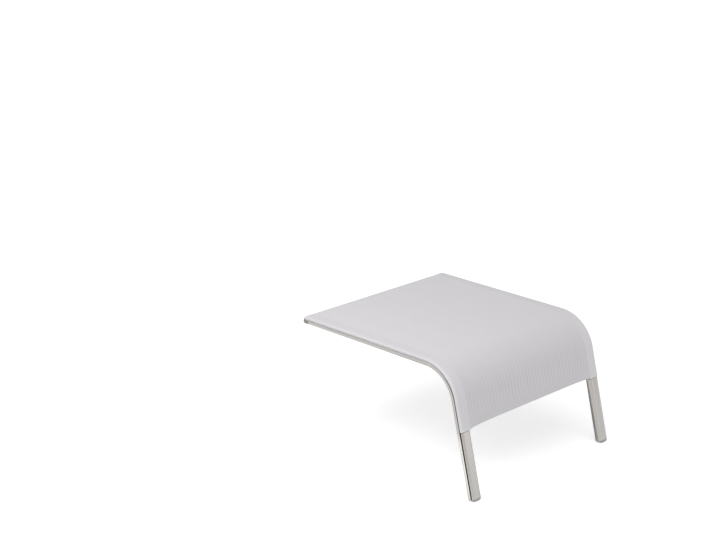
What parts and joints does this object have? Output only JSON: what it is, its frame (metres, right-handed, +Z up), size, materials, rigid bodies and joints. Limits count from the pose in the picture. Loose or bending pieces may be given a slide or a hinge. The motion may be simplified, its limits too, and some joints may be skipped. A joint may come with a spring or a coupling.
{
  "type": "footrest",
  "caption": "Outdoor footrest with a bent steel frame and a stretched mesh sling, with legs at its front end and hooks at its rear end for a lounge chair's front bar.",
  "frame": {"origin": "on the floor, under the middle of the footrest's outline as seen from above", "axes": "+X towards the legs at the front end, +Y to the left of a person who lies with the feet towards +X, +Z up"},
  "size_m": [0.6646, 0.6004, 0.3685],
  "materials": {
    "steel": "satin stainless steel",
    "screw_steel": "plain stainless steel",
    "sling_mesh": "coated open-weave mesh, matt",
    "cord_plastic": "matt",
    "foot_plastic": "matt",
    "cap_plastic": "matt",
    "liner_plastic": "matt"
  },
  "bodies": {
    "root": {"side_rail_left": "steel", "side_rail_right": "steel", "sling": "sling_mesh", "edge_cord_left": "cord_plastic", "edge_cord_right": "cord_plastic", "rear_end_cap_left": "cap_plastic", "rear_end_cap_right": "cap_plastic", "foot_glide_left": "foot_plastic", "foot_glide_right": "foot_plastic", "rear_crossbar": "steel", "front_crossbar": "steel", "rear_spigot_left": "steel", "rear_spigot_right": "steel", "front_spigot_left": "steel", "front_spigot_right": "steel", "rear_crossbar_screw_left_1": "screw_steel", "rear_crossbar_screw_left_2": "screw_steel", "rear_crossbar_screw_right_1": "screw_steel", "rear_crossbar_screw_right_2": "screw_steel", "front_crossbar_screw_left_1": "screw_steel", "front_crossbar_screw_left_2": "screw_steel", "front_crossbar_screw_right_1": "screw_steel", "front_crossbar_screw_right_2": "screw_steel", "hook_plate_left": "steel", "hook_plate_right": "steel", "hook_liner_left": "liner_plastic", "hook_liner_right": "liner_plastic"}
  },
  "joints": []
}
